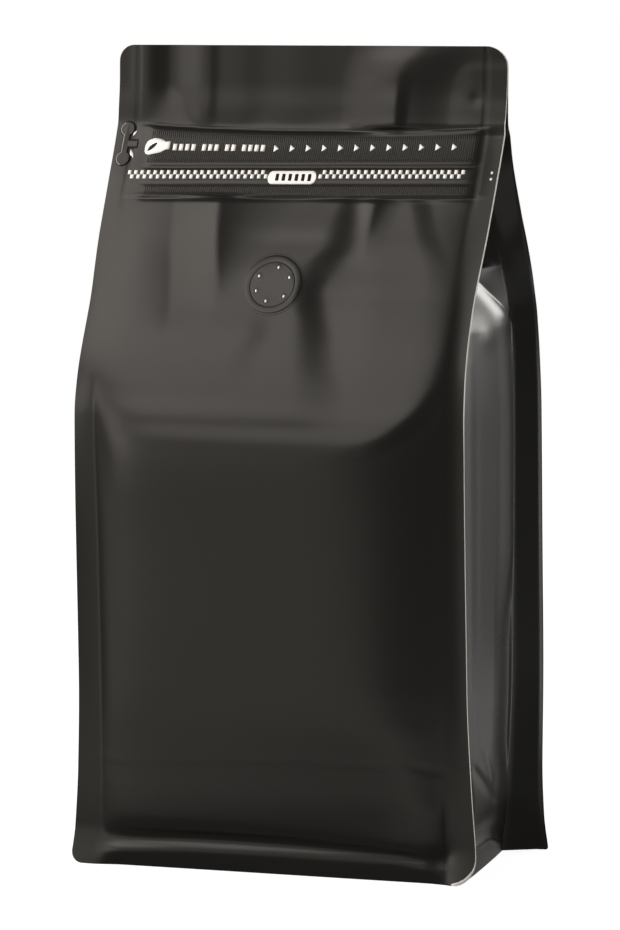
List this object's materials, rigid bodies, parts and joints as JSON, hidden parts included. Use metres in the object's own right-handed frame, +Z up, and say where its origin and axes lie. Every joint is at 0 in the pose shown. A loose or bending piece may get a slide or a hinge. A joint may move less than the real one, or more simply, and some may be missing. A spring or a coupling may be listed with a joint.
{
  "type": "flat-bottom coffee bag",
  "caption": "Filled, shut box-shaped coffee pouch with sealed edge fins, side gussets, a zipped pocket below a flat header, a one-way valve and a die-cut pull tab.",
  "frame": {"origin": "middle of the base, on the ground", "axes": "+Z up, -Y towards the front panel with the zip and the valve, +X to the front panel's right as it is looked at"},
  "size_m": [0.1338, 0.0918, 0.257],
  "materials": {
    "film": "soft-touch matt black laminate film",
    "valve_film": "same film drawn over a moulded valve",
    "tab_film": "die-cut film with a pale cut edge"
  },
  "bodies": {
    "root": {"bag": "film", "valve": "valve_film", "pull_tab": "tab_film"}
  },
  "joints": []
}
